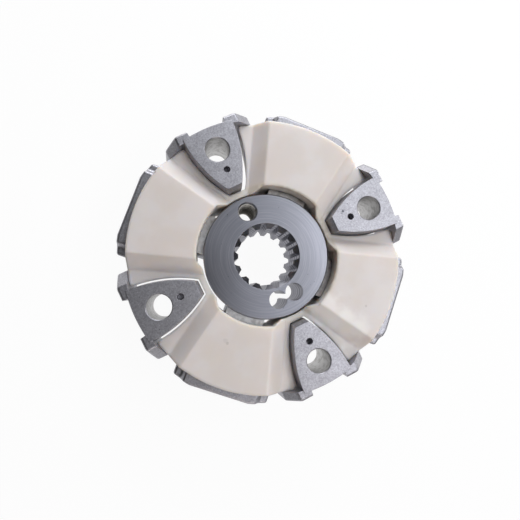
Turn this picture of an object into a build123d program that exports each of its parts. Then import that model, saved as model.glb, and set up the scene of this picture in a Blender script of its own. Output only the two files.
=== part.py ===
from build123d import *
from math import acos, atan2, cos, degrees, hypot, pi, radians, sin, sqrt, tan
import os

# Torsionally stiff pump coupling, lying flat on its hub screws, axis along +Z.
# The flywheel side looks up. Millimetres, origin on the axis, on the surface it lies on.

# Pattern round the axis
insert_count = 4
flywheel_azimuth = 0
hub_azimuth = flywheel_azimuth + 180 / insert_count
loose_insert = 2            # this flywheel insert has turned to one side of its pocket
loose_turn = 0.6            # degrees
worn_gap = 0.9              # its pocket is worn wider on the other side

# Hub screws, washers and pins
screw_d = 16
screw_length = 40
screw_head_d = 24
screw_head_h = 16
screw_head_edge = 1
screw_socket = 14           # across flats
screw_socket_depth = 8
washer_bore = 16.4
washer_od = 24.5
washer_t = 3.5
washer_slit = 1.5
pin_d = 5
pin_wall = 1
pin_slit = 1.2
pin_length = 14
fit_gap = 0.05              # a screw or pin in its hole, on the radius

# Axial stack, from the surface upwards
arm_t = 14                  # outer part of a hub arm
insert_length = 42
insert_stagger = 7          # the flywheel inserts stand this much further forward
arm_z = screw_head_h + washer_t
seat_z = arm_z + arm_t
front_z = seat_z + insert_stagger + insert_length

# Insert, seen along the axis
bolt_circle_r = 89
bolt_hole_d = 18.5
bolt_hole_edge = 0.6
pin_circle_r = 72.3
pin_hole_depth = 8
tip_r = 58.4                # flat tip of the wedge, at its face
tip_width = 11.8
face_width = 40.8
side_bow_r = 93             # the sides bow outwards
side_flare = 0.9            # how much wider the wedge is at its waist
tip_flare = 2.2
flare_depth = 10

# Insert, rim plate
rim_r = 113.2
flat_inset = 2.4            # the flat on the outside of the plate, inside rim_r
plate_t = 5.3               # from the flat to the inside of the plate
face_lap = 1.9              # how far the face reaches over the plate
rim_flat = rim_r - flat_inset
rim_inner_r = rim_flat - plate_t
face_r = rim_inner_r + face_lap
lobe_drop = 0.8
lobe_angle = 7.8            # the plate is bevelled between its two lobes
bevel_angle = 11
bevel_inset = 0.3           # how far the bevel cuts into the face
flat_half_width = sqrt(rim_r**2 - rim_flat**2)
lobe_lead = 1.8             # from the end of the flat to the corner of the lobe
lobe_half_width = flat_half_width + lobe_lead
ear_half_width = 35
ear_drop = 12
plate_half_width = 37.6
plate_edge_round = 2.2
foot_half_width = 31.3
foot_end_half_width = 28.5
foot_height = 4

# Element
rim_gap = 0.3               # between its rim and the plates
element_r = rim_inner_r - rim_gap
element_bore_r = 50.3
plane_drop = 1              # raised planes, below the faces of the inserts
floor_drop = 10             # low floors beside the inserts
floor_half_width = 30       # at the bolt circle
ramp_run = 11.4
ramp_direction = 30.4       # of the ramp lines, from the line through the insert
pocket_gap = 1.2
pocket_draft = 5            # degrees, the pockets open towards the hub side
tip_draft = 2
lid_gap = 0.3               # between a hub insert and the lid of its pocket
lip_t = 2                   # inner lip of a raised segment
recess_r = 54.3             # inner wall of a raised segment
recess_angle = 24
recess_end_angle = 31.7
inner_round = 2.5
rim_round = 1
mouth_round = 3             # corners where the pockets open at the rim
mouth_proud = 0.15          # the rounding ends this far outside the rim

# Hub
boss_r = 49.2
boss_drop = 9               # face of the hub below the faces of the flywheel inserts
boss_edge = 0.8
hub_length = 46
dish_r = 46
arm_width = 31
arm_end_r = 17.8
arm_root_r = 55
arm_root_drop = 15
arm_gap = 1                 # between an arm and the element
puller_r = 37.8
puller_azimuth = 88.3
puller_d = 14
puller_mouth_d = 15.8
twin_hole_r = 35
twin_hole_azimuth = 270.6
twin_hole_angle = 23.4
twin_hole_d = 14
twin_slot = 5

# Splined bore
spline_teeth = 15
spline_pitch = 8            # teeth per inch of pitch diameter
spline_pressure_angle = 30
spline_minor_teeth = 14     # minor and major diameters, as counts of teeth
spline_major_teeth = 16.35
spline_azimuth = -1.4
spline_mouth_d = 52.4
spline_chamfer_angle = 45

inch = 25.4
reach = 2 * rim_r           # longer than anything that is cut


def polar(radius, angle):
    return (radius * cos(radians(angle)), radius * sin(radians(angle)))


def save(part, name):
    part.label = name
    export_step(part, f"parts/{name}.step")


# Centre of the arc that bows one side of the wedge outwards
face_half = face_width / 2
face_x = sqrt(face_r**2 - face_half**2)
side_run = face_x - tip_r
side_rise = face_half - tip_width / 2
side_angle = atan2(side_rise, side_run)
bow_depth = sqrt(side_bow_r**2 - (side_run**2 + side_rise**2) / 4)
bow_x = (tip_r + face_x) / 2 + bow_depth * sin(side_angle)
bow_y = (tip_width / 2 + face_half) / 2 - bow_depth * cos(side_angle)
bow_centre = Vector(bow_x, bow_y)


# Where an arc of radius bow_r round the centre of the bow meets a circle round the axis
def bow_end(bow_r, outer_r):
    span = bow_centre.length
    along = (outer_r**2 - bow_r**2 + span**2) / (2 * span)
    across = sqrt(outer_r**2 - along**2)
    return Vector(along * bow_x - across * bow_y, along * bow_y + across * bow_x) / span


# One bowed side, from the tip to end, which lies on it
def bow_side(bow_r, x_tip, end):
    tip = Vector(x_tip, bow_y + sqrt(bow_r**2 - (x_tip - bow_x) ** 2))
    return ThreePointArc(tip, bow_centre + ((tip + end) / 2 - bow_centre).normalized() * bow_r, end)


# Plan of the wedge, widened at its sides and tip
def wedge_plan(height, wider, longer):
    bow_r = side_bow_r + wider
    with BuildSketch(Plane.XY.offset(height)) as plan:
        with BuildLine():
            side = bow_side(bow_r, tip_r - longer, bow_end(bow_r, face_r))
            mirror(about=Plane.XZ)
            Line(side @ 0, ((side @ 0).X, -(side @ 0).Y))
            ThreePointArc(side @ 1, (face_r, 0), ((side @ 1).X, -(side @ 1).Y))
        make_face()
    return plan.sketch


# Whether an edge of the rim plate is on its outer side
def is_outside(edge):
    middle = edge @ 0.5
    return hypot(middle.X, middle.Y) > rim_flat - plate_edge_round


# One insert as cast, its face at z = 0 and its body below, on the +X side
with BuildPart() as casting:
    with BuildSketch():
        Circle(rim_r)
        Circle(rim_inner_r, mode=Mode.SUBTRACT)
    extrude(amount=-insert_length)
    with BuildSketch(Plane.YZ.offset(tip_r)):
        with BuildLine():
            Polyline(
                (0, -lobe_drop),
                (lobe_half_width, -lobe_drop),
                (ear_half_width, -ear_drop),
                (plate_half_width, foot_height - insert_length),
                (foot_half_width, foot_height - insert_length),
                (foot_end_half_width, -insert_length),
                (0, -insert_length),
            )
            mirror(about=Plane.YZ)
        make_face()
    extrude(amount=rim_flat - tip_r, mode=Mode.INTERSECT)
    fillet(edges().filter_by(is_outside) - edges().filter_by(Axis.Z), plate_edge_round)
    add(wedge_plan(0, 0, 0))
    add(wedge_plan(-flare_depth, side_flare, tip_flare))
    loft(ruled=True)
    add(wedge_plan(-flare_depth, side_flare, tip_flare))
    extrude(amount=2 * flare_depth - insert_length, dir=(0, 0, 1))
    add(wedge_plan(flare_depth - insert_length, side_flare, tip_flare))
    add(wedge_plan(-insert_length, 0, 0))
    loft(ruled=True)
    bevel_r = face_r - bevel_inset
    with BuildSketch(Plane.XZ.rotated((0, 0, -lobe_angle))):
        Polygon(
            (bevel_r, 0),
            (rim_r, 0),
            (rim_r, -(rim_r - bevel_r) / tan(radians(bevel_angle))),
            align=None,
        )
    revolve(axis=Axis.Z, revolution_arc=2 * lobe_angle, mode=Mode.SUBTRACT)
    with Locations((pin_circle_r, 0, 0)):
        Hole(pin_d / 2 + fit_gap, depth=pin_hole_depth)

# The same casting for both sides: drilled for the flywheel bolts, or tapped for the hub screws
with BuildPart() as flywheel_insert:
    add(casting.part)
    with Locations((bolt_circle_r, 0, 0)):
        Hole(bolt_hole_d / 2)
    chamfer(edges(Select.LAST).filter_by(GeomType.CIRCLE), bolt_hole_edge)

with BuildPart() as hub_insert:
    add(casting.part)
    with Locations((bolt_circle_r, 0, 0)):
        Hole(screw_d / 2 + fit_gap)


# Plan of a pocket round the wedge, its mouth rounded where it opens at the rim of the element
def pocket_plan(height, wider, longer):
    bow_r = side_bow_r + wider
    round_centre = bow_end(bow_r + mouth_round, element_r - mouth_round + mouth_proud)
    to_side = (bow_centre - round_centre).normalized()
    to_rim = round_centre.normalized()
    rim_point = round_centre + to_rim * mouth_round
    with BuildSketch(Plane.XY.offset(height)) as plan:
        with BuildLine():
            side = bow_side(bow_r, tip_r - longer, round_centre + to_side * mouth_round)
            ThreePointArc(side @ 1, round_centre + (to_side + to_rim).normalized() * mouth_round, rim_point)
            outer = Line(rim_point, to_rim * rim_r)
            mirror(about=Plane.XZ)
            Line(side @ 0, ((side @ 0).X, -(side @ 0).Y))
            ThreePointArc(outer @ 1, (rim_r, 0), ((outer @ 1).X, -(outer @ 1).Y))
        make_face()
    return plan.sketch


# Element, a wavy ring: ridges over the hub inserts in front, behind the flywheel inserts at the back
plane_z = front_z - plane_drop
floor_z = front_z - floor_drop
back_plane_z = seat_z + plane_drop
middle_z = (plane_z + back_plane_z) / 2
arm_root_z = front_z - arm_root_drop
lid_z = seat_z + insert_length + lid_gap


# Plan of the low floor in front of the element, spread outwards on both sides
def valley_plan(height, spread):
    slope = tan(radians(ramp_direction))
    apex = bolt_circle_r - floor_half_width / slope - spread / sin(radians(ramp_direction))
    half = (reach - apex) * slope
    with BuildSketch(Plane.XY.offset(height)) as plan:
        Polygon((apex, 0), (reach, -half), (reach, half), align=None)
    return plan.sketch


with BuildPart() as valley:
    add(valley_plan(floor_z, 0))
    add(valley_plan(front_z, ramp_run * floor_drop / (floor_drop - plane_drop)))
    loft(ruled=True)
back_valley = mirror(valley.part, about=Plane.XY.offset(middle_z))

flywheel_pocket_depth = floor_z - back_plane_z
with BuildPart() as flywheel_pocket:
    add(pocket_plan(floor_z, side_flare + pocket_gap, tip_flare + pocket_gap))
    flywheel_pocket_wider = side_flare + pocket_gap + flywheel_pocket_depth * tan(radians(pocket_draft))
    flywheel_pocket_longer = tip_flare + pocket_gap + flywheel_pocket_depth * tan(radians(tip_draft))
    add(pocket_plan(back_plane_z, flywheel_pocket_wider, flywheel_pocket_longer))
    loft(ruled=True)

hub_pocket_depth = lid_z - back_plane_z
with BuildPart() as hub_pocket:
    add(pocket_plan(lid_z, side_flare + pocket_gap, tip_flare + pocket_gap))
    hub_pocket_wider = side_flare + pocket_gap + hub_pocket_depth * tan(radians(pocket_draft))
    hub_pocket_longer = tip_flare + pocket_gap + hub_pocket_depth * tan(radians(tip_draft))
    add(pocket_plan(back_plane_z, hub_pocket_wider, hub_pocket_longer))
    loft(ruled=True)
    with BuildSketch(Plane.XY.offset(arm_root_z + arm_gap)):
        Circle(recess_r + lip_t)
    extrude(amount=lid_z, mode=Mode.SUBTRACT)
    with BuildSketch(Plane.XY.offset(back_plane_z)):
        with Locations((element_bore_r, 0)):
            Rectangle(element_bore_r, arm_width + 2 * arm_gap)
        Circle(arm_root_r + arm_gap, mode=Mode.INTERSECT)
    extrude(amount=arm_root_z + arm_gap - back_plane_z)

with BuildPart() as element:
    with BuildSketch(Plane.XZ) as half_section:
        with Locations((recess_r, back_plane_z)):
            Rectangle(element_r - recess_r, plane_z - back_plane_z, align=(Align.MIN, Align.MIN))
        corners = half_section.vertices().group_by(Axis.X)
        fillet(corners[-1], rim_round)
        fillet(corners[0].sort_by(Axis.Z)[-1], inner_round)
    revolve(axis=Axis.Z)
    with BuildSketch(Plane.XY.offset(back_plane_z)):
        Circle(recess_r + inner_round)
        with BuildLine():
            for corner in range(insert_count):
                middle = hub_azimuth + corner * 360 / insert_count
                after = middle + recess_end_angle
                before = middle + 360 / insert_count - recess_end_angle
                wide = ThreePointArc(
                    polar(recess_r, middle - recess_angle),
                    polar(recess_r, middle),
                    polar(recess_r, middle + recess_angle),
                )
                narrow = ThreePointArc(
                    polar(element_bore_r, after),
                    polar(element_bore_r, (after + before) / 2),
                    polar(element_bore_r, before),
                )
                Line(wide @ 1, narrow @ 0)
                Line(narrow @ 1, polar(recess_r, middle + 360 / insert_count - recess_angle))
        make_face(mode=Mode.SUBTRACT)
    extrude(amount=plane_z - inner_round - back_plane_z)
    with PolarLocations(0, insert_count, flywheel_azimuth):
        add(valley.part, mode=Mode.SUBTRACT)
        add(flywheel_pocket.part, mode=Mode.SUBTRACT)
    with PolarLocations(0, 1, flywheel_azimuth + (loose_insert - 1) * 360 / insert_count):
        with Locations((0, -worn_gap, 0)):
            add(flywheel_pocket.part, mode=Mode.SUBTRACT)
    with PolarLocations(0, insert_count, hub_azimuth):
        add(back_valley, mode=Mode.SUBTRACT)
        add(hub_pocket.part, mode=Mode.SUBTRACT)

# Hub, a round boss with four arms that reach out behind the hub inserts
hub_face_z = front_z - boss_drop
hub_back_z = hub_face_z - hub_length
pitch_r = inch * spline_teeth / spline_pitch / 2
base_r = pitch_r * cos(radians(spline_pressure_angle))
minor_r = inch * spline_minor_teeth / spline_pitch / 2
major_r = inch * spline_major_teeth / spline_pitch / 2


# Half the angle of a space between two spline teeth, with involute sides
def space_angle(radius):
    at_pitch = radians(spline_pressure_angle)
    here = acos(base_r / radius)
    return degrees(pi / 2 / spline_teeth + tan(at_pitch) - at_pitch - tan(here) + here)


with BuildSketch() as spline_space:
    with BuildLine():
        side = ThreePointArc(
            polar(minor_r, space_angle(minor_r)),
            polar(pitch_r, space_angle(pitch_r)),
            polar(major_r, space_angle(major_r)),
        )
        root = ThreePointArc(side @ 1, (major_r, 0), polar(major_r, -space_angle(major_r)))
        other_side = ThreePointArc(
            root @ 1,
            polar(pitch_r, -space_angle(pitch_r)),
            polar(minor_r, -space_angle(minor_r)),
        )
        Polyline(other_side @ 1, (0, 0), side @ 0)
    make_face()

with BuildPart() as hub:
    with BuildSketch(Plane.XY.offset(hub_back_z)):
        Circle(boss_r)
    extrude(amount=hub_length)
    chamfer(faces().sort_by(Axis.Z)[-1].edges(), boss_edge)
    with BuildSketch(Plane.XY.offset(arm_z)):
        with PolarLocations(0, insert_count, hub_azimuth):
            Rectangle(bolt_circle_r, arm_width, align=(Align.MIN, Align.CENTER))
        with PolarLocations(bolt_circle_r, insert_count, hub_azimuth):
            Circle(arm_end_r)
    extrude(amount=arm_t)
    with BuildSketch(Plane.XY.offset(arm_z)):
        with PolarLocations(0, insert_count, hub_azimuth):
            Rectangle(rim_r, arm_width, align=(Align.MIN, Align.CENTER))
        Circle(arm_root_r, mode=Mode.INTERSECT)
    extrude(amount=arm_root_z - arm_z)
    with BuildSketch(Plane.XY.offset(arm_z)):
        Circle(dish_r)
    extrude(amount=hub_back_z - arm_z, mode=Mode.SUBTRACT)
    with BuildSketch(Plane.XY.offset(hub_back_z)):
        Circle(minor_r)
        with PolarLocations(0, spline_teeth, spline_azimuth):
            add(spline_space.sketch)
    extrude(amount=hub_length, mode=Mode.SUBTRACT)

    with BuildSketch(Plane.XZ):
        with BuildLine():
            mouth_r = spline_mouth_d / 2
            mouth_depth = mouth_r / tan(radians(spline_chamfer_angle))
            Polyline(
                (0, hub_face_z),
                (mouth_r, hub_face_z),
                (0, hub_face_z - mouth_depth),
                close=True,
            )
        make_face()
    revolve(axis=Axis.Z, mode=Mode.SUBTRACT)
    with BuildSketch(Plane.XY.offset(hub_back_z)):
        with Locations(polar(puller_r, puller_azimuth)):
            Circle(puller_d / 2)
        with PolarLocations(twin_hole_r, 2, twin_hole_azimuth - twin_hole_angle / 2, 2 * twin_hole_angle):
            Circle(twin_hole_d / 2)
        with PolarLocations(twin_hole_r, 1, twin_hole_azimuth):
            Rectangle(twin_slot, twin_hole_d, align=(Align.CENTER, Align.CENTER))
    extrude(amount=hub_length, mode=Mode.SUBTRACT)
    with BuildSketch(Plane.XY.offset(hub_face_z)):
        with Locations(polar(puller_r, puller_azimuth)):
            Circle(puller_mouth_d / 2)
    extrude(amount=-(puller_mouth_d - puller_d) / 2, taper=45, mode=Mode.SUBTRACT)
    with BuildSketch(Plane.XY.offset(arm_z)):
        with PolarLocations(bolt_circle_r, insert_count, hub_azimuth):
            Circle(screw_d / 2 + fit_gap)
    extrude(amount=arm_t, mode=Mode.SUBTRACT)
    with BuildSketch(Plane.XY.offset(seat_z)):
        with PolarLocations(pin_circle_r, insert_count, hub_azimuth):
            Circle(pin_d / 2 + fit_gap)
    extrude(amount=-pin_hole_depth, mode=Mode.SUBTRACT)

# Hub screw, its spring washer and the locating pin, one of each per hub insert
with BuildPart() as hub_screw:
    with BuildSketch():
        Circle(screw_head_d / 2)
    extrude(amount=screw_head_h)
    chamfer(edges().group_by(Axis.Z)[0], screw_head_edge)
    with BuildSketch():
        RegularPolygon(screw_socket / 2, 6, major_radius=False)
    extrude(amount=screw_socket_depth, mode=Mode.SUBTRACT)
    with BuildSketch(Plane.XY.offset(screw_head_h)):
        Circle(screw_d / 2)
    extrude(amount=screw_length)
    chamfer(edges().group_by(Axis.Z)[-1], screw_head_edge)

with BuildPart() as hub_screw_washer:
    with BuildSketch(Plane.XY.offset(screw_head_h)):
        Circle(washer_od / 2)
        Circle(washer_bore / 2, mode=Mode.SUBTRACT)
        Rectangle(washer_od, washer_slit, align=(Align.MIN, Align.CENTER), mode=Mode.SUBTRACT)
    extrude(amount=washer_t)

with BuildPart() as hub_pin:
    with BuildSketch(Plane.XY.offset(seat_z - pin_length / 2)):
        Circle(pin_d / 2)
        Circle(pin_d / 2 - pin_wall, mode=Mode.SUBTRACT)
        Rectangle(pin_d, pin_slit, align=(Align.MIN, Align.CENTER), mode=Mode.SUBTRACT)
    extrude(amount=pin_length)

os.makedirs("parts", exist_ok=True)
save(element.part, "element")
save(hub.part, "hub")
for number in range(1, insert_count + 1):
    step = (number - 1) * 360 / insert_count
    toward_flywheel = Rot(0, 0, flywheel_azimuth + step)
    toward_hub = Rot(0, 0, hub_azimuth + step)
    turn = Rot(0, 0, loose_turn if number == loose_insert else 0)
    save(turn * toward_flywheel * Pos(0, 0, front_z) * flywheel_insert.part, f"flywheel_insert_{number}")
    save(toward_hub * Pos(0, 0, seat_z) * Rot(180, 0, 0) * hub_insert.part, f"hub_insert_{number}")
    save(toward_hub * Pos(bolt_circle_r, 0, 0) * hub_screw.part, f"hub_screw_{number}")
    save(toward_hub * Pos(bolt_circle_r, 0, 0) * hub_screw_washer.part, f"hub_screw_washer_{number}")
    save(toward_hub * Pos(pin_circle_r, 0, 0) * hub_pin.part, f"hub_pin_{number}")
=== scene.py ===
import math

import bpy
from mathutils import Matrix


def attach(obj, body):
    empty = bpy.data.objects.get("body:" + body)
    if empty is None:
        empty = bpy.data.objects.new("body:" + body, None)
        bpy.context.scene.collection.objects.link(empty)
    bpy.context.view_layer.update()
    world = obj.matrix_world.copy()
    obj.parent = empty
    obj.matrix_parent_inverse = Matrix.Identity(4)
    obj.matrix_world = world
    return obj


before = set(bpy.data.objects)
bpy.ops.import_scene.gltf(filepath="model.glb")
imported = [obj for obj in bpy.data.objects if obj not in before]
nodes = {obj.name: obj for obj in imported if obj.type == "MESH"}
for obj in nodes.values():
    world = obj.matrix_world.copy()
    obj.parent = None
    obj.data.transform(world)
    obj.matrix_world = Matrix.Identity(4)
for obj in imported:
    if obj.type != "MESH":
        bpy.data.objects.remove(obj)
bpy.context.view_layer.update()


def linearColour(code):
    values = [int(code[i:i + 2], 16) / 255 for i in (1, 3, 5)]
    return [v / 12.92 if v <= 0.04045 else ((v + 0.055) / 1.055) ** 2.4 for v in values] + [1]


# Each input gets a value or the output of another node
def addNode(tree, kind, inputs=None, **settings):
    node = tree.nodes.new(kind)
    for name, value in settings.items():
        setattr(node, name, value)
    for name, value in (inputs or {}).items():
        if isinstance(value, bpy.types.NodeSocket):
            tree.links.new(value, node.inputs[name])
        else:
            node.inputs[name].default_value = value
    return node


def newMaterial(name):
    material = bpy.data.materials.new(name)
    material.use_nodes = True
    material.node_tree.nodes.clear()
    return material, material.node_tree


def deselectAll():
    bpy.ops.object.select_all(action="DESELECT")


def dress(nodeName, material):
    piece = nodes[nodeName]
    piece.data.materials.clear()
    piece.data.materials.append(material)


# The shader that every finish ends in, with its output
def addShader(tree, inputs):
    shader = addNode(tree, "ShaderNodeBsdfPrincipled", inputs)
    addNode(tree, "ShaderNodeOutputMaterial", {"Surface": shader.outputs["BSDF"]})


# Colours laid one over another, each as far as its mask lets it show
def layColours(tree, colour, layers):
    for mask, code in layers:
        mix = addNode(tree, "ShaderNodeMix", {"Factor": mask, "A": colour, "B": linearColour(code)},
                      data_type="RGBA")
        colour = mix.outputs[2]
    return colour


# Edges rounded by shading, with a fine relief over the whole surface
def softRelief(tree, height, piece):
    soft = addNode(tree, "ShaderNodeBevel", {"Radius": piece["edgeRound"] / 1000}, samples=6)
    bump = addNode(tree, "ShaderNodeBump",
                   {"Strength": piece["reliefStrength"], "Distance": piece["reliefDepth"] / 1000,
                    "Height": height, "Normal": soft.outputs["Normal"]})
    return bump.outputs["Normal"]


# The place square to the coupling's axis, as a vector and as the distance from the axis
def acrossAxis(tree, place):
    flat = addNode(tree, "ShaderNodeVectorMath", {0: place, 1: (1, 1, 0)}, operation="MULTIPLY").outputs[0]
    radius = addNode(tree, "ShaderNodeVectorMath", {0: flat}, operation="LENGTH").outputs["Value"]
    return flat, radius


# 1 on walls that stand along the axis and 0 on faces square to it
def wallMask(tree):
    face, wall = 0.6, 0.3   # how much of the normal may lie along the axis
    normal = addNode(tree, "ShaderNodeNewGeometry").outputs["Normal"]
    facing = addNode(tree, "ShaderNodeSeparateXYZ", {"Vector": normal}).outputs["Z"]
    along = addNode(tree, "ShaderNodeMath", {0: facing}, operation="ABSOLUTE").outputs[0]
    mask = addNode(tree, "ShaderNodeMapRange", {"Value": along, "From Min": face, "From Max": wall},
                   interpolation_type="SMOOTHSTEP")
    return mask.outputs[0]


# Cloudy patches: the mask is at its least up to the pattern's start and at its most from its end
def patchMask(tree, place, pattern):
    cloud = addNode(tree, "ShaderNodeTexNoise",
                    {"Vector": place, "Scale": 1000 / pattern["size"], "Detail": pattern["detail"]})
    mask = addNode(tree, "ShaderNodeMapRange",
                   {"Value": cloud.outputs[0], "From Min": pattern["start"], "From Max": pattern["end"],
                    "To Min": pattern.get("least", 0), "To Max": pattern["most"]},
                   interpolation_type="SMOOTHSTEP")
    return mask.outputs[0]


# Small round spots, about one to a spacing, seen only where the cloud is dense
def spotMask(tree, place, cloud, pattern):
    cells = addNode(tree, "ShaderNodeTexVoronoi", {"Vector": place, "Scale": 1000 / pattern["spacing"]})
    spots = addNode(tree, "ShaderNodeMapRange",
                    {"Value": cells.outputs["Distance"], "From Min": pattern["edge"],
                     "From Max": pattern["core"], "To Max": pattern["most"]}, interpolation_type="SMOOTHSTEP")
    dense = addNode(tree, "ShaderNodeMapRange",
                    {"Value": cloud, "From Min": pattern["start"], "From Max": pattern["end"]},
                    interpolation_type="SMOOTHSTEP")
    mask = addNode(tree, "ShaderNodeMath", {0: spots.outputs[0], 1: dense.outputs[0]}, operation="MULTIPLY")
    return mask.outputs[0]


# Single round marks, as layers: full inside half their radius and gone at it, their edge a little ragged
def markLayers(tree, place, ragged, marks, code):
    layers = []
    for centre, radius, most in marks:
        apart = addNode(tree, "ShaderNodeVectorMath", {0: place, 1: [c / 1000 for c in centre]},
                        operation="DISTANCE")
        reach = addNode(tree, "ShaderNodeMath", {0: ragged, 1: radius / 2000, 2: apart.outputs["Value"]},
                        operation="MULTIPLY_ADD")
        mask = addNode(tree, "ShaderNodeMapRange",
                       {"Value": reach.outputs[0], "From Min": radius / 1000, "From Max": radius / 2000,
                        "To Max": most}, interpolation_type="SMOOTHSTEP")
        layers.append((mask.outputs[0], code))
    return layers


# The coupling lies on its hub screws and the camera looks down at its flywheel side
camera = {
    "place": (-0.05251, -0.00498, 0.38566),   # metres
    "turn": (3.7495, -8.3243, -25.6740),      # degrees
    "lens": 28.10,                            # mm
    "sensor": 36,                             # mm
    "shift": (-0.01475, 0.00884),
    "nearest": 0.01,                          # metres
}

bpy.ops.object.camera_add(location=camera["place"], rotation=[math.radians(a) for a in camera["turn"]])
viewCamera = bpy.context.object
viewCamera.data.lens = camera["lens"]
viewCamera.data.sensor_width = camera["sensor"]
viewCamera.data.shift_x, viewCamera.data.shift_y = camera["shift"]
viewCamera.data.clip_start = camera["nearest"]
bpy.context.scene.camera = viewCamera
print("camera placed")

# Natural polyamide, moulded: ivory, slightly waxy, with a painted warm glow toward the hub where light comes
# through the thin edges, painted shade along the recess rim on the right, a few oily marks from use
nylon = {
    "plain": "#DFD8D5",
    "warm": "#DBD2CC",
    # a painted warm glow, standing in for light that comes through the thin plastic at the recess rim
    "paintedGlow": "#DDD2C2",
    # painted shade along the recess rim on the right
    "rimShade": "#9C9080",
    "stainMark": "#5E564C",
    "scuffedAndLit": "#F2EDE9",                # rubbed pale, and painted light
    "mottle": {"size": 24, "detail": 3, "start": 0.35, "end": 0.65, "most": 1},     # size in mm
    "patches": {"size": 7, "detail": 3, "start": 0.4, "end": 0.62, "most": 1},
    "paintedGlowRadii": (58.5, 54.5),         # mm from the axis, where the painted glow sets in and where it is full
    "paintedGlowMost": 0.45,
    "rimShadeRadii": (56.6, 54.5),            # mm from the axis, the same for the painted shade
    "rimShadeSide": (0, 30),                  # mm to the right of the axis, also for the painted shade
    "rimShadeMost": 0.35,
    "grainSize": 0.8,                    # mm, real mould grain is about 0.1, drawn coarser so that it shows
    "reliefStrength": 0.12,
    "reliefDepth": 0.2,                  # mm
    "edgeRound": 2.8,                    # mm
    "roughness": 0.46,
    "refraction": 1.53,
    "glow": 0.6,                         # share of the light that goes into the plastic
    "glowDepth": 9,                      # mm
    "glowColours": (1.0, 0.75, 0.5),     # how deep red, green and blue go
    "marks": (                           # centre and radius in mm, strength
        ((68.6, 16.4, 81.5), 0.8, 0.85),
        ((-56.1, -46.0, 81.5), 1.6, 0.22),
        ((-56.8, -43.2, 81.5), 2.6, 0.10),
        ((-50.2, 92.0, 80.5), 3.2, 0.55),
        ((43.6, -57.1, 81.5), 1.0, 0.20),
        ((52.6, -68.3, 81.5), 1.3, 0.18),
        ((38.3, -61.4, 80.5), 1.4, 0.20),
        ((38.5, -71.9, 80.5), 1.2, 0.16),
    ),
    "scuffsAndLight": (                          # the same, on the low ramp of one segment, lightened there as painted light with a few faint scuffs
        ((20.0, -60.0, 76.0), 26, 0.7),
        ((29.0, -80.0, 76.0), 26, 0.7),
    ),
}


def nylonMaterial():
    material, tree = newMaterial("naturalPolyamide")
    place = addNode(tree, "ShaderNodeTexCoord").outputs["Object"]
    radius = acrossAxis(tree, place)[1]
    mottle = patchMask(tree, place, nylon["mottle"])
    patches = patchMask(tree, place, nylon["patches"])
    # Painted glow: a warmer colour toward the recess rim, standing in for light that comes through the thin
    # plastic there
    glowBand = addNode(tree, "ShaderNodeMapRange",
                     {"Value": radius, "From Min": nylon["paintedGlowRadii"][0] / 1000,
                      "From Max": nylon["paintedGlowRadii"][1] / 1000, "To Max": nylon["paintedGlowMost"]},
                     interpolation_type="SMOOTHSTEP")
    toRight = addNode(tree, "ShaderNodeSeparateXYZ", {"Vector": place}).outputs["X"]
    # Painted shade: a brownish grey in cloudy patches on the recess rim of the right half, where the recess
    # falls into shade
    shadedSide = addNode(tree, "ShaderNodeMapRange",
                       {"Value": toRight, "From Min": nylon["rimShadeSide"][0] / 1000,
                        "From Max": nylon["rimShadeSide"][1] / 1000, "To Max": nylon["rimShadeMost"]},
                       interpolation_type="SMOOTHSTEP")
    shadedRim = addNode(tree, "ShaderNodeMapRange",
                      {"Value": radius, "From Min": nylon["rimShadeRadii"][0] / 1000,
                       "From Max": nylon["rimShadeRadii"][1] / 1000}, interpolation_type="SMOOTHSTEP")
    darkening = addNode(tree, "ShaderNodeMath", {0: shadedSide.outputs[0], 1: patches}, operation="MULTIPLY")
    darkening = addNode(tree, "ShaderNodeMath", {0: shadedRim.outputs[0], 1: darkening.outputs[0]}, operation="MULTIPLY")
    colour = layColours(tree, linearColour(nylon["plain"]), [
        (mottle, nylon["warm"]),
        (glowBand.outputs[0], nylon["paintedGlow"]),
        (darkening.outputs[0], nylon["rimShade"]),
        # Lighter patches on one low ramp: painted light, with a few faint scuffs
        *markLayers(tree, place, mottle, nylon["scuffsAndLight"], nylon["scuffedAndLit"]),
        *markLayers(tree, place, patches, nylon["marks"], nylon["stainMark"]),
    ])
    grain = addNode(tree, "ShaderNodeTexNoise",
                    {"Vector": place, "Scale": 1000 / nylon["grainSize"], "Detail": 2})
    addShader(tree, {
        "Base Color": colour,
        "Normal": softRelief(tree, grain.outputs[0], nylon),
        "Roughness": nylon["roughness"],
        "IOR": nylon["refraction"],
        "Subsurface Weight": nylon["glow"],
        "Subsurface Radius": nylon["glowColours"],
        "Subsurface Scale": nylon["glowDepth"] / 1000,
    })
    return material


dress("element", nylonMaterial())
print("element finished")

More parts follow.
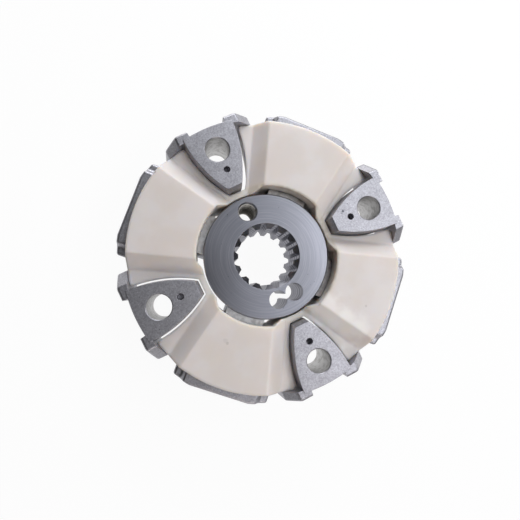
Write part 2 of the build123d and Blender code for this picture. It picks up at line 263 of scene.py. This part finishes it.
# Aluminium casting, shot-blasted: bluish grey with a fine grain, painted bright glints, dark pits and a few
# knocks
casting = {
    "light": "#B4B3B9",
    "dark": "#97969B",
    "drilled": "#C6C5C5",
    "oil": "#77746F",
    "pit": "#4A4A50",
    "paintedGlint": "#F0F0F4",
    "mottleSize": 8,                     # mm
    "mottleShare": 0.3,                  # how much the mottle counts in the colour, beside the grain's 1
    "colourSpread": (0.47, 0.83),        # the sum's levels where the colour is all dark and all light
    "grainSize": 1.0,                    # mm, real blasting dents are about 0.3, drawn coarser to show
    # Spacings and sizes in mm, edges and cores as shares of a spacing
    "paintedGlints": {"spacing": 1.5, "edge": 0.18, "core": 0.09, "most": 0.65, "start": 0.4, "end": 0.6},
    "pits": {"spacing": 4.5, "edge": 0.11, "core": 0.05, "most": 0.7, "start": 0.42, "end": 0.6},
    "wallOil": {"size": 3.5, "detail": 4, "start": 0.45, "end": 0.65, "most": 0.45},
    "boltCircleRadius": 89,              # mm, bolt holes and hub screws lie on it
    "drilledRadii": (10.8, 10.4),        # mm from a bolt's axis, cast past the first, drilled inside the next
    "reliefStrength": 0.4,
    "reliefDepth": 0.2,                  # mm
    "edgeRound": 0.45,                   # mm
    "roughness": 0.47,
    "marks": (                           # centre and radius in mm, strength
        ((68.4, 6.5, 82.5), 1.5, 0.95),
        ((66.9, 5.2, 82.5), 0.8, 0.8),
        ((-4.2, 66.5, 82.5), 0.6, 0.6),
        ((-3.2, 64.9, 82.5), 0.45, 0.6),
        ((-5.4, 68.4, 82.5), 0.4, 0.5),
        ((-2.2, 67.6, 82.5), 0.4, 0.5),
        ((17.0, -76.0, 82.5), 0.45, 0.5),
    ),
}


# 1 on the drilled walls of the four bolt holes, which lie on the X and Y axes
def drilledMask(tree, place):
    apart = addNode(tree, "ShaderNodeVectorMath", {0: place}, operation="ABSOLUTE").outputs[0]
    apart = addNode(tree, "ShaderNodeSeparateXYZ", {"Vector": apart}).outputs
    farther = addNode(tree, "ShaderNodeMath", {0: apart["X"], 1: apart["Y"]}, operation="MAXIMUM")
    nearer = addNode(tree, "ShaderNodeMath", {0: apart["X"], 1: apart["Y"]}, operation="MINIMUM")
    across = addNode(tree, "ShaderNodeMath", {0: farther.outputs[0], 1: casting["boltCircleRadius"] / 1000},
                     operation="SUBTRACT")
    fromBolt = addNode(tree, "ShaderNodeCombineXYZ", {"X": across.outputs[0], "Y": nearer.outputs[0]})
    distance = addNode(tree, "ShaderNodeVectorMath", {0: fromBolt.outputs[0]}, operation="LENGTH")
    near = addNode(tree, "ShaderNodeMapRange",
                   {"Value": distance.outputs["Value"], "From Min": casting["drilledRadii"][0] / 1000,
                    "From Max": casting["drilledRadii"][1] / 1000}, interpolation_type="SMOOTHSTEP")
    mask = addNode(tree, "ShaderNodeMath", {0: wallMask(tree), 1: near.outputs[0]}, operation="MULTIPLY")
    return mask.outputs[0]


def castingMaterial():
    material, tree = newMaterial("blastedAluminiumCasting")
    place = addNode(tree, "ShaderNodeTexCoord").outputs["Object"]
    mottle = addNode(tree, "ShaderNodeTexNoise",
                     {"Vector": place, "Scale": 1000 / casting["mottleSize"], "Detail": 3}).outputs[0]
    grain = addNode(tree, "ShaderNodeTexNoise",
                    {"Vector": place, "Scale": 1000 / casting["grainSize"], "Detail": 3}).outputs[0]
    both = addNode(tree, "ShaderNodeMath", {0: mottle, 1: casting["mottleShare"], 2: grain},
                   operation="MULTIPLY_ADD")
    spread = addNode(tree, "ShaderNodeMapRange",
                     {"Value": both.outputs[0], "From Min": casting["colourSpread"][0],
                      "From Max": casting["colourSpread"][1]})
    drilled = drilledMask(tree, place)
    darkening = addNode(tree, "ShaderNodeMath", {0: drilled, 1: patchMask(tree, place, casting["wallOil"])},
                   operation="MULTIPLY")
    colour = layColours(tree, linearColour(casting["dark"]), [
        (spread.outputs[0], casting["light"]),
        (spotMask(tree, place, mottle, casting["pits"]), casting["pit"]),
        # Painted glints: small bright spots standing in for highlights on the blasted facets
        (spotMask(tree, place, grain, casting["paintedGlints"]), casting["paintedGlint"]),
        (drilled, casting["drilled"]),
        (darkening.outputs[0], casting["oil"]),
        *markLayers(tree, place, grain, casting["marks"], casting["pit"]),
    ])
    addShader(tree, {
        "Base Color": colour,
        "Normal": softRelief(tree, grain, casting),
        "Roughness": casting["roughness"],
        "Metallic": 1,
    })
    return material


castMetal = castingMaterial()
for number in range(1, 5):
    dress(f"flywheel_insert_{number}", castMetal)
    dress(f"hub_insert_{number}", castMetal)
print("inserts finished")

# Turned steel: bluish grey with fine rings on its face; the arms behind stay as forged, duller and mottled,
# and are painted lighter than the face to stand in for light in the shaded recess
turned = {
    "light": "#A0A0A9",
    "dark": "#8F9098",
    "bored": "#BFBFC3",
    "boredDark": "#54555B",
    # the forged arms' own duller colour, painted lighter to stand in for light where they lie in shade
    "forged": "#C8C8C9",
    "forgedDark": "#98979A",
    "speck": "#3C3D44",
    "ringWidth": 0.7,                    # mm, real feed marks are about 0.2, drawn coarser so that they show
    "ringSpread": (0.3, 0.7),            # levels of the noise that count for nothing and in full
    "arcWidth": 1.6,                     # mm, rubbed arcs that run part of the way round
    "arcRate": 1.3,                      # how often they change on the way round
    "arcSpread": (0.35, 0.65),
    "boredBand": 4,                      # mm, tool marks down the bores, really about 0.5, drawn coarser
    "boredSpread": (0.35, 0.65),
    "boredMost": 0.8,
    # Forging scale and dark specks, the size and the spacing in mm
    "scale": {"size": 4, "detail": 4, "start": 0.35, "end": 0.75, "most": 0.85},
    "specks": {"spacing": 6, "edge": 0.09, "core": 0.04, "most": 0.7, "start": 0.5, "end": 0.62},
    "speckCloud": 9,                     # mm
    "bossRadii": (49.5, 49.6),           # mm from the axis, turned up to the first, forged past the second
    "dentSize": 1.6,                     # mm, on the forged arms
    "dentDepth": 4,                      # times the relief of the rings
    "reliefStrength": 0.07,
    "reliefDepth": 0.1,                  # mm
    "edgeRound": 0.3,                    # mm
    "roughness": 0.3,
    "forgedRoughness": 0.45,
    "anisotropy": 0.62,                  # the feed marks draw highlights out across the rings
    "edgeTint": "#B3B3B8",               # what a glancing view of the metal tends to
    "marks": (                           # centre and radius in mm, strength
        ((-14.1, 42.0, 73.5), 0.7, 0.8),
        ((-15.0, 41.0, 73.5), 0.5, 0.6),
        ((-28.0, 23.4, 73.5), 0.5, 0.5),
        ((-34.0, -1.5, 73.5), 0.6, 0.55),
    ),
}


# Rings round the axis and the rubbed arcs that cross them
def turnedPattern(tree, flat, radius):
    rings = addNode(tree, "ShaderNodeTexNoise",
                    {"W": radius, "Scale": 1000 / turned["ringWidth"], "Detail": 4},
                    noise_dimensions="1D").outputs[0]
    direction = addNode(tree, "ShaderNodeVectorMath", {0: flat}, operation="NORMALIZE")
    outward = addNode(tree, "ShaderNodeMath", {0: radius, 1: 1000 / turned["arcWidth"]}, operation="MULTIPLY")
    outward = addNode(tree, "ShaderNodeCombineXYZ", {"Z": outward.outputs[0]})
    around = addNode(tree, "ShaderNodeVectorMath", {0: direction.outputs[0], 1: outward.outputs[0]},
                     operation="ADD")
    arcs = addNode(tree, "ShaderNodeTexNoise",
                   {"Vector": around.outputs[0], "Scale": turned["arcRate"], "Detail": 3}).outputs[0]
    ringShare = addNode(tree, "ShaderNodeMapRange",
                        {"Value": rings, "From Min": turned["ringSpread"][0],
                         "From Max": turned["ringSpread"][1]}, interpolation_type="SMOOTHSTEP")
    arcShare = addNode(tree, "ShaderNodeMapRange",
                       {"Value": arcs, "From Min": turned["arcSpread"][0],
                        "From Max": turned["arcSpread"][1]}, interpolation_type="SMOOTHSTEP")
    spread = addNode(tree, "ShaderNodeMath", {0: ringShare.outputs[0], 1: arcShare.outputs[0]},
                     operation="MULTIPLY")
    return rings, spread.outputs[0]


def turnedMaterial():
    material, tree = newMaterial("turnedSteel")
    place = addNode(tree, "ShaderNodeTexCoord").outputs["Object"]
    split = addNode(tree, "ShaderNodeSeparateXYZ", {"Vector": place}).outputs
    flat, radius = acrossAxis(tree, place)
    rings, spread = turnedPattern(tree, flat, radius)
    cloud = addNode(tree, "ShaderNodeTexNoise",
                    {"Vector": place, "Scale": 1000 / turned["speckCloud"], "Detail": 3}).outputs[0]
    wall = wallMask(tree)
    bands = addNode(tree, "ShaderNodeTexNoise",
                    {"W": split["Z"], "Scale": 1000 / turned["boredBand"], "Detail": 3},
                    noise_dimensions="1D")
    bands = addNode(tree, "ShaderNodeMapRange",
                    {"Value": bands.outputs[0], "From Min": turned["boredSpread"][0],
                     "From Max": turned["boredSpread"][1], "To Max": turned["boredMost"]},
                    interpolation_type="SMOOTHSTEP")
    bands = addNode(tree, "ShaderNodeMath", {0: wall, 1: bands.outputs[0]}, operation="MULTIPLY")
    forged = addNode(tree, "ShaderNodeMapRange",
                     {"Value": radius, "From Min": turned["bossRadii"][0] / 1000,
                      "From Max": turned["bossRadii"][1] / 1000}, interpolation_type="SMOOTHSTEP").outputs[0]
    scale = addNode(tree, "ShaderNodeMath", {0: forged, 1: patchMask(tree, place, turned["scale"])},
                    operation="MULTIPLY")
    colour = layColours(tree, linearColour(turned["dark"]), [
        (spread, turned["light"]),
        (spotMask(tree, place, cloud, turned["specks"]), turned["speck"]),
        *markLayers(tree, place, cloud, turned["marks"], turned["speck"]),
        (wall, turned["bored"]),
        (bands.outputs[0], turned["boredDark"]),
        (forged, turned["forged"]),
        (scale.outputs[0], turned["forgedDark"]),
    ])
    roughness = addNode(tree, "ShaderNodeMapRange",
                        {"Value": forged, "To Min": turned["roughness"], "To Max": turned["forgedRoughness"]})
    back = addNode(tree, "ShaderNodeMath", {0: split["Y"], 1: -1}, operation="MULTIPLY")
    along = addNode(tree, "ShaderNodeCombineXYZ", {"X": back.outputs[0], "Y": split["X"]})
    along = addNode(tree, "ShaderNodeVectorMath", {0: along.outputs[0]}, operation="NORMALIZE")
    dents = addNode(tree, "ShaderNodeTexNoise",
                    {"Vector": place, "Scale": 1000 / turned["dentSize"], "Detail": 3})
    dents = addNode(tree, "ShaderNodeMath", {0: dents.outputs[0], 1: turned["dentDepth"]},
                    operation="MULTIPLY")
    height = addNode(tree, "ShaderNodeMix", {"Factor": forged, "A": rings, "B": dents.outputs[0]})
    addShader(tree, {
        "Base Color": colour,
        "Roughness": roughness.outputs[0],
        "Normal": softRelief(tree, height.outputs[0], turned),
        "Tangent": along.outputs[0],
        "Metallic": 1,
        "Anisotropic": turned["anisotropy"],
        "Specular Tint": linearColour(turned["edgeTint"]),
    })
    return material


dress("hub", turnedMaterial())
print("hub finished")

# The thread of the puller hole, M16 with 2 mm pitch, stands on the hole's wall
thread = {
    "centre": (1.1213, 37.7834),         # mm
    "wallRadius": 7.0,                   # mm
    "crestRadius": 6.4,                  # mm
    "pitch": 2.0,                        # mm
    "ridgeHalf": 0.42,                   # half a ridge's height on the wall, as a share of the pitch
    "bottom": 28.6,                      # mm
    "turns": 21,
    "stepsPerTurn": 40,
    "smoothAngle": 40,                   # degrees
}

# Freshly tapped steel, brighter and rougher than the face, with painted shade in stripes along the roots of
# the thread
tapped = {
    "crest": "#EAE8E3",
    # painted shade in the thread's roots
    "root": "#7D786F",
    "lineSpacing": 5,                    # mm, the pitch is 2, drawn coarser so that it shows
    "lineSpread": (-0.6, 0.8),           # heights of the wave that are all crest and all root
    "rootShadeCloud": {"size": 2.5, "detail": 3, "start": 0.3, "end": 0.7, "least": 0.4, "most": 1},      # size in mm
    "roughness": 0.5,
    "metallic": 0.4,                     # the oil film hides part of the metal
}


def tappedMaterial():
    material, tree = newMaterial("tappedSteel")
    place = addNode(tree, "ShaderNodeTexCoord").outputs["Object"]
    height = addNode(tree, "ShaderNodeSeparateXYZ", {"Vector": place}).outputs["Z"]
    angle = addNode(tree, "ShaderNodeMath", {0: height, 1: 2000 * math.pi / tapped["lineSpacing"]},
                    operation="MULTIPLY")
    wave = addNode(tree, "ShaderNodeMath", {0: angle.outputs[0]}, operation="SINE")
    lines = addNode(tree, "ShaderNodeMapRange",
                    {"Value": wave.outputs[0], "From Min": tapped["lineSpread"][0],
                     "From Max": tapped["lineSpread"][1]}, interpolation_type="SMOOTHSTEP")
    # Painted shade: dark stripes where the thread's roots lie, weaker in cloudy patches
    rootShade = addNode(tree, "ShaderNodeMath", {0: lines.outputs[0], 1: patchMask(tree, place, tapped["rootShadeCloud"])},
                    operation="MULTIPLY")
    colour = layColours(tree, linearColour(tapped["crest"]), [(rootShade.outputs[0], tapped["root"])])
    addShader(tree, {
        "Base Color": colour,
        "Roughness": tapped["roughness"],
        "Metallic": tapped["metallic"],
    })
    return material


# A ridge with four corners is drawn on the wall, wound up the hole and closed at both ends
deselectAll()
bpy.ops.mesh.primitive_circle_add(vertices=4, radius=0.001, fill_type="NGON", location=(0, 0, 0))
pullerThread = bpy.context.object
pullerThread.name = "pullerThread"
bpy.ops.object.mode_set(mode="EDIT")
bpy.ops.mesh.select_all(action="SELECT")
bpy.ops.transform.rotate(value=math.pi / 2, orient_axis="X", center_override=(0, 0, 0))
bpy.ops.transform.resize(value=(thread["wallRadius"] - thread["crestRadius"], 1,
                                thread["ridgeHalf"] * thread["pitch"]), center_override=(0, 0, 0))
bpy.ops.transform.translate(value=(thread["wallRadius"] / 1000, 0, thread["bottom"] / 1000))
bpy.ops.mesh.delete(type="ONLY_FACE")
bpy.ops.object.mode_set(mode="OBJECT")
screwModifier = pullerThread.modifiers.new("helix", "SCREW")
screwModifier.screw_offset = thread["pitch"] / 1000
screwModifier.iterations = thread["turns"]
screwModifier.steps = screwModifier.render_steps = thread["stepsPerTurn"]
screwModifier.use_merge_vertices = False
bpy.ops.object.modifier_apply(modifier="helix")
bpy.ops.object.mode_set(mode="EDIT")
bpy.ops.mesh.select_all(action="SELECT")
bpy.ops.mesh.fill_holes(sides=0)
bpy.ops.mesh.select_all(action="SELECT")
bpy.ops.mesh.normals_make_consistent(inside=False)
bpy.ops.transform.translate(value=(thread["centre"][0] / 1000, thread["centre"][1] / 1000, 0))
bpy.ops.object.mode_set(mode="OBJECT")
bpy.ops.object.shade_smooth_by_angle(angle=math.radians(thread["smoothAngle"]))
pullerThread.data.materials.append(tappedMaterial())
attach(pullerThread, "root")
print("puller thread cut")

# Alloy steel with black oxide: near black, slightly oily, greyer where it is handled
blackened = {
    "plain": "#3A3A3E",
    "worn": "#5E5E63",
    "wear": {"size": 6, "detail": 3, "start": 0.42, "end": 0.62, "most": 1},        # size in mm
    "grainSize": 0.9,                    # mm, drawn coarser than the real 0.1
    "reliefStrength": 0.2,
    "reliefDepth": 0.1,                  # mm
    "edgeRound": 0.3,                    # mm
    "roughness": 0.38,
}


def blackenedMaterial():
    material, tree = newMaterial("blackOxideSteel")
    place = addNode(tree, "ShaderNodeTexCoord").outputs["Object"]
    grain = addNode(tree, "ShaderNodeTexNoise",
                    {"Vector": place, "Scale": 1000 / blackened["grainSize"], "Detail": 3}).outputs[0]
    wear = addNode(tree, "ShaderNodeMath", {0: patchMask(tree, place, blackened["wear"]), 1: grain},
                   operation="MULTIPLY")
    colour = layColours(tree, linearColour(blackened["plain"]), [(wear.outputs[0], blackened["worn"])])
    addShader(tree, {
        "Base Color": colour,
        "Normal": softRelief(tree, grain, blackened),
        "Roughness": blackened["roughness"],
        "Metallic": 1,
    })
    return material


blackSteel = blackenedMaterial()
for number in range(1, 5):
    dress(f"hub_screw_{number}", blackSteel)
    dress(f"hub_screw_washer_{number}", blackSteel)
    dress(f"hub_pin_{number}", blackSteel)

# Straight knurl round the heads of the hub screws
knurl = {
    "ridges": 84,
    "ridgeHalf": 0.3,                    # mm, how far a ridge stands out
    "headRadius": 12.0,                  # mm
    "bottom": 1.5,                       # mm
    "top": 14.6,                         # mm
    "firstAzimuth": 45,                  # degrees, the screws are a quarter turn apart
    "mergeDistance": 0.01,               # mm
}

# One ring of ridges is made on the axis and copied to each screw
deselectAll()
bpy.ops.mesh.primitive_cube_add(size=0.001, location=(0, 0, 0))
ridgeRing = bpy.context.object
bpy.ops.object.mode_set(mode="EDIT")
bpy.ops.mesh.select_all(action="SELECT")
bpy.ops.transform.resize(value=(knurl["ridgeHalf"] * math.sqrt(2), knurl["ridgeHalf"] * math.sqrt(2),
                                knurl["top"] - knurl["bottom"]), center_override=(0, 0, 0))
bpy.ops.transform.rotate(value=math.pi / 4, orient_axis="Z", center_override=(0, 0, 0))
bpy.ops.transform.translate(value=(knurl["headRadius"] / 1000, 0, (knurl["top"] + knurl["bottom"]) / 2000))
bpy.ops.mesh.spin(steps=knurl["ridges"], dupli=True, angle=2 * math.pi, center=(0, 0, 0), axis=(0, 0, 1))
bpy.ops.mesh.select_all(action="SELECT")
bpy.ops.mesh.remove_doubles(threshold=knurl["mergeDistance"] / 1000)
bpy.ops.object.mode_set(mode="OBJECT")
ridgeRing.data.materials.append(blackSteel)

screwCircle = casting["boltCircleRadius"] / 1000
for number in range(1, 5):
    azimuth = math.radians(knurl["firstAzimuth"] + 90 * (number - 1))
    deselectAll()
    ridgeRing.select_set(True)
    bpy.context.view_layer.objects.active = ridgeRing
    bpy.ops.object.duplicate()
    knurlPiece = bpy.context.object
    knurlPiece.name = f"screwKnurl{number}"
    bpy.ops.object.mode_set(mode="EDIT")
    bpy.ops.mesh.select_all(action="SELECT")
    bpy.ops.transform.translate(value=(screwCircle * math.cos(azimuth), screwCircle * math.sin(azimuth), 0))
    bpy.ops.object.mode_set(mode="OBJECT")
    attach(knurlPiece, "root")
bpy.data.objects.remove(ridgeRing)
print("fasteners finished")

# A pale floor and a ring of soft lamps, the strongest low behind and on the right, the front ones warmer
studio = {
    "floorSize": 6,                      # metres
    "floorColour": "#F4F4F4",
    "floorGlow": 0.94,                   # how much the camera sees as plain white, the rest keeps the shadow
    "white": "#FFFFFF",                  # the sky and the floor's glow
    "domeLevel": 0.03,                   # what the sky lights, while the camera sees it white
    "lampDistance": 1.2,                 # metres
    "lampSize": 0.5,                     # metres
    "lamps": (                           # azimuth and elevation in degrees, watts, colour
        ("keyLampRight", 357, 58, 2.3, "#F8FBFF"),
        ("keyLampFront", 311, 59, 3.1, "#FAFBFF"),
        ("keyLampBack", 45, 58, 0.9, "#F8FBFF"),
        ("topLamp", 0, 78, 0.5, "#F8FBFF"),
        ("backLamp", 51, 35, 6.0, "#F8FBFF"),
        ("rightLamp", 0, 12, 4.7, "#FFFFFF"),
        ("rearLamp", 75, 12, 5.0, "#FFFFFF"),
        ("fillLamp", 247, 35, 3.15, "#FFF8F3"),
        ("frontLamp", 270, 58, 0.6, "#FFFAF8"),
    ),
}

deselectAll()
bpy.ops.mesh.primitive_plane_add(size=studio["floorSize"], location=(0, 0, 0))
floor = bpy.context.object
floor.name = "floor"

# The camera sees the floor nearly white, also in a reflection, while the other rays meet plain paper
floorMaterial, tree = newMaterial("whitePaperFloor")
rays = addNode(tree, "ShaderNodeLightPath").outputs
seen = addNode(tree, "ShaderNodeMath", {0: rays["Is Camera Ray"], 1: rays["Is Glossy Ray"]},
               operation="MAXIMUM")
seen = addNode(tree, "ShaderNodeMath", {0: seen.outputs[0], 1: rays["Is Transmission Ray"]},
               operation="MAXIMUM")
share = addNode(tree, "ShaderNodeMath", {0: seen.outputs[0], 1: studio["floorGlow"]}, operation="MULTIPLY")
paper = addNode(tree, "ShaderNodeBsdfDiffuse", {"Color": linearColour(studio["floorColour"])})
white = addNode(tree, "ShaderNodeEmission", {"Color": linearColour(studio["white"])})
mixed = addNode(tree, "ShaderNodeMixShader", {0: share.outputs[0], 1: paper.outputs[0], 2: white.outputs[0]})
addNode(tree, "ShaderNodeOutputMaterial", {"Surface": mixed.outputs[0]})
floor.data.materials.append(floorMaterial)

world = bpy.data.worlds.new("studioDome")
world.use_nodes = True
bpy.context.scene.world = world
tree = world.node_tree
tree.nodes.clear()
direct = addNode(tree, "ShaderNodeLightPath").outputs["Is Camera Ray"]
level = addNode(tree, "ShaderNodeMapRange", {"Value": direct, "To Min": studio["domeLevel"]})
sky = addNode(tree, "ShaderNodeBackground",
              {"Color": linearColour(studio["white"]), "Strength": level.outputs[0]})
addNode(tree, "ShaderNodeOutputWorld", {"Surface": sky.outputs[0]})

for lampName, azimuth, elevation, watts, lampColour in studio["lamps"]:
    across = studio["lampDistance"] * math.cos(math.radians(elevation))
    lampPlace = (across * math.cos(math.radians(azimuth)), across * math.sin(math.radians(azimuth)),
                 studio["lampDistance"] * math.sin(math.radians(elevation)))
    bpy.ops.object.light_add(type="AREA", location=lampPlace)
    lamp = bpy.context.object
    lamp.name = lampName
    lamp.data.size = studio["lampSize"]
    lamp.data.energy = watts
    lamp.data.color = linearColour(lampColour)[:3]
    lamp.rotation_euler = (-lamp.location).to_track_quat("-Z", "Y").to_euler()
bpy.context.scene.view_settings.view_transform = "Standard"
print("studio lit")
